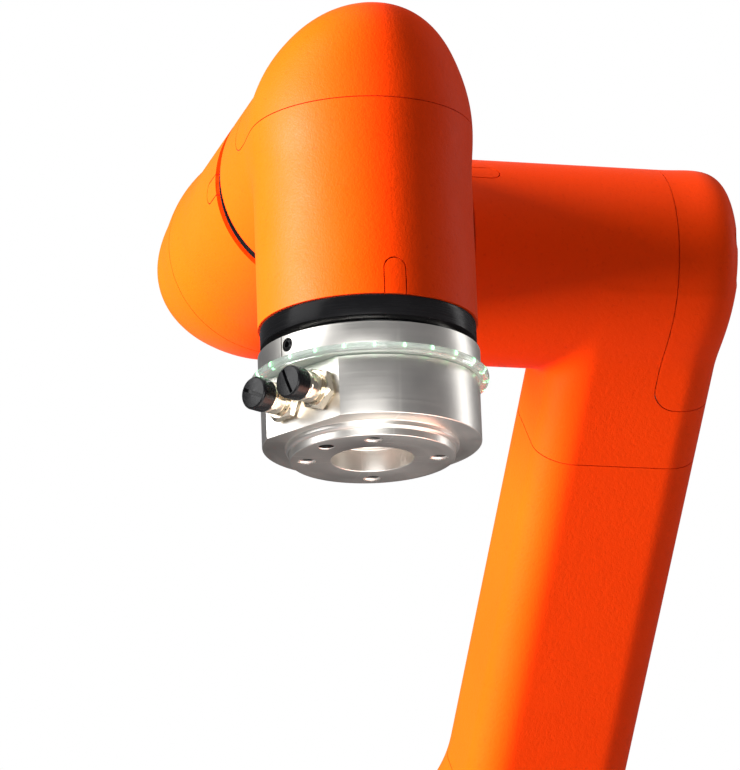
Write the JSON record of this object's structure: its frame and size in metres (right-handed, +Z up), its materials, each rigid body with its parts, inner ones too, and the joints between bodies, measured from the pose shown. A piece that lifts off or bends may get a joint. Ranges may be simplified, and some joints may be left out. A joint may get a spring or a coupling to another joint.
{
  "type": "collaborative robot arm",
  "caption": "Collaborative robot arm with jointed rounded casings, a bolted base and a lit tool flange with capped connectors.",
  "frame": {"origin": "centre of the base's mounting face, on the base rotation axis", "axes": "+Z up along the base rotation axis; the arm reaches towards -Y; +X to the side away from the upper arm"},
  "size_m": [0.31, 0.5222, 0.857],
  "materials": {
    "orange_paint": "fine textured satin",
    "machined_aluminium": "turned satin",
    "black_seal": "semi-gloss",
    "black_plastic": "satin",
    "nickel": "polished nickel",
    "light_ring": "clear moulded plastic",
    "circuit_board": "lacquered",
    "winding": "varnished copper",
    "gear_steel": "ground"
  },
  "bodies": {
    "base": {"base_housing": "orange_paint", "base_bottom_cover": "machined_aluminium", "base_connector_panel": "black_plastic", "base_power_socket": "nickel", "base_signal_socket": "nickel", "j1_seal_ring": "black_seal", "j1_gear_unit": "gear_steel", "j1_motor_stator": "winding", "j1_rotor_shaft": "gear_steel", "j1_drive_board": "circuit_board"},
    "shoulder": {"shoulder_housing": "orange_paint", "shoulder_cap": "orange_paint", "j2_seal_ring": "black_seal", "j2_gear_unit": "gear_steel", "j2_motor_stator": "winding", "j2_rotor_shaft": "gear_steel"},
    "upper_arm": {"upper_arm_lower_housing": "orange_paint", "upper_arm_lower_cap": "orange_paint", "upper_arm_tube": "orange_paint", "upper_arm_upper_housing": "orange_paint", "upper_arm_upper_cap": "orange_paint", "j3_seal_ring": "black_seal", "j3_gear_unit": "gear_steel", "j3_motor_stator": "winding", "j3_rotor_shaft": "gear_steel"},
    "forearm": {"forearm_lower_housing": "orange_paint", "forearm_lower_cap": "orange_paint", "forearm_tube": "orange_paint", "forearm_upper_housing": "orange_paint", "forearm_slot_plug": "orange_paint", "forearm_upper_cap": "orange_paint", "j4_seal_ring": "black_seal", "j4_gear_unit": "gear_steel", "j4_motor_stator": "winding", "j4_rotor_shaft": "gear_steel", "j4_drive_board": "circuit_board"},
    "wrist_1": {"wrist_1_housing": "orange_paint", "wrist_1_slot_plug": "orange_paint", "wrist_1_cap": "orange_paint", "j5_seal_ring": "black_seal", "j5_gear_unit": "gear_steel", "j5_motor_stator": "winding", "j5_rotor_shaft": "gear_steel", "j5_drive_board": "circuit_board"},
    "wrist_2": {"wrist_2_housing": "orange_paint", "wrist_2_slot_plug": "orange_paint", "wrist_2_cap": "orange_paint", "j6_seal_ring": "black_seal", "j6_gear_unit": "gear_steel", "j6_motor_stator": "winding", "j6_rotor_shaft": "gear_steel", "j6_drive_board": "circuit_board"},
    "tool": {"tool_upper_ring": "machined_aluminium", "tool_led_board": "circuit_board", "tool_light_ring": "light_ring", "tool_flange": "machined_aluminium", "io_connector_a": "nickel", "io_dust_cap_a": "black_plastic", "io_connector_b": "nickel", "io_dust_cap_b": "black_plastic"}
  },
  "joints": [
    {"name": "base_rotation", "type": "hinge", "parent": "base", "child": "shoulder", "pos_m": [0, 0, 0.082], "axis": [0, 0, 1], "range_deg": [-175, 175]},
    {"name": "shoulder_pitch", "type": "hinge", "parent": "shoulder", "child": "upper_arm", "pos_m": [-0.104, 0, 0.16], "axis": [1, 0, 0], "range_deg": [-165, 175]},
    {"name": "elbow_pitch", "type": "hinge", "parent": "upper_arm", "child": "forearm", "pos_m": [-0.076, 0.07085, 0.5618], "axis": [1, 0, 0], "range_deg": [-188, 78]},
    {"name": "wrist_1_pitch", "type": "hinge", "parent": "forearm", "child": "wrist_1", "pos_m": [-0.1, -0.20893, 0.813], "axis": [1, 0, 0], "range_deg": [-175, 175]},
    {"name": "wrist_2_yaw", "type": "hinge", "parent": "wrist_1", "child": "wrist_2", "pos_m": [-0.1695, -0.28993, 0.813], "axis": [0, 1, 0], "range_deg": [-175, 175]},
    {"name": "tool_rotation", "type": "hinge", "parent": "wrist_2", "child": "tool", "pos_m": [-0.1695, -0.35093, 0.7305], "axis": [0, 0, 1], "range_deg": [-175, 175]}
  ]
}
